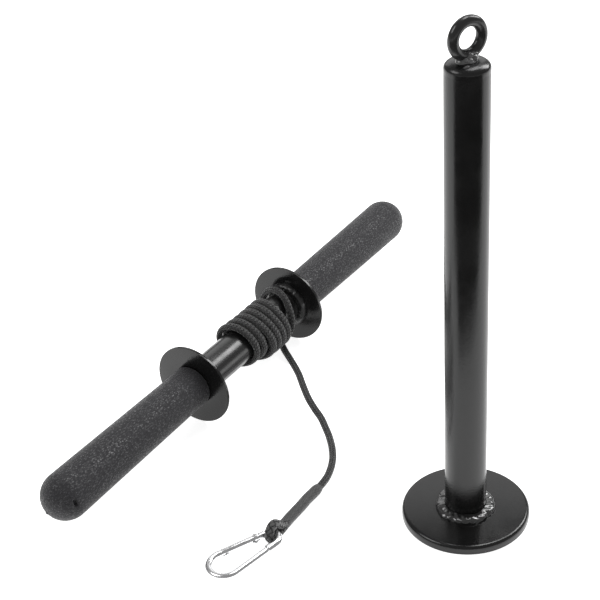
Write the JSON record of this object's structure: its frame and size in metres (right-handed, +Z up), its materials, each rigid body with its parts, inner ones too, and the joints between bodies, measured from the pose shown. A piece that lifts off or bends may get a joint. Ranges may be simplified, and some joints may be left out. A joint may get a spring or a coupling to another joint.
{
  "type": "wrist roller",
  "caption": "Wrist roller with foam grips, flanges and a wound cord with a snap hook, and a loading pin with an eye ring on a round base.",
  "frame": {"origin": "on the floor, in the middle of the box round the roller and the loading pin", "axes": "+X along the roller from its left grip to its right one, +Y from the loading pin to the roller, +Z up the loading pin"},
  "size_m": [0.4292, 0.2842, 0.3453],
  "materials": {
    "roller_paint": "gloss black enamel",
    "flange_paint": "satin black paint",
    "weld_paint": "gloss black paint pooled over a hand weld",
    "pin_paint": "satin black powder coat",
    "foam": "fine pebbled closed-cell foam",
    "cord": "black braided polyester",
    "sleeve": "shrink sleeve, satin",
    "plating": "bright zinc plating",
    "rivet_steel": "plain steel"
  },
  "bodies": {
    "lead": {"cord_lead": "cord", "cord_sleeve": "sleeve", "cord_eye": "cord"},
    "roller": {"roller_tube": "roller_paint", "left_flange": "flange_paint", "right_flange": "flange_paint", "left_flange_weld": "weld_paint", "right_flange_weld": "weld_paint", "left_grip": "foam", "right_grip": "foam", "cord_inner_layers": "cord", "cord_winding": "cord", "cord_knot": "cord"},
    "hook": {"hook_body": "plating"},
    "gate": {"hook_gate": "plating", "gate_rivet": "rivet_steel", "gate_plunger": "rivet_steel", "gate_spring": "rivet_steel"},
    "loading_pin": {"base_plate": "pin_paint", "post_tube": "pin_paint", "base_weld": "weld_paint", "post_cap": "pin_paint", "eye_ring": "pin_paint", "eye_ring_weld": "weld_paint"}
  },
  "joints": [
    {"name": "roller_turn", "type": "hinge", "parent": "lead", "child": "roller", "pos_m": [0, 0.1121, 0.03], "axis": [1, 0, 0], "continuous": true},
    {"name": "hook_swing", "type": "hinge", "parent": "lead", "child": "hook", "pos_m": [-0.14008, -0.00869, 0.0062], "axis": [0, 1, 0], "range_deg": [0, 90]},
    {"name": "gate_open", "type": "hinge", "parent": "hook", "child": "gate", "pos_m": [-0.14889, -0.00043, 0.00535], "axis": [-0.0697, 0.0283, 0.9972], "range_deg": [0, 25], "stiffness_Nm_per_rad": 0.01, "springref_deg": -11.46},
    {"name": "pin_lift", "type": "slide", "parent": "lead", "child": "loading_pin", "axis": [0, 0, 1], "range_m": [0, 0.3]}
  ]
}
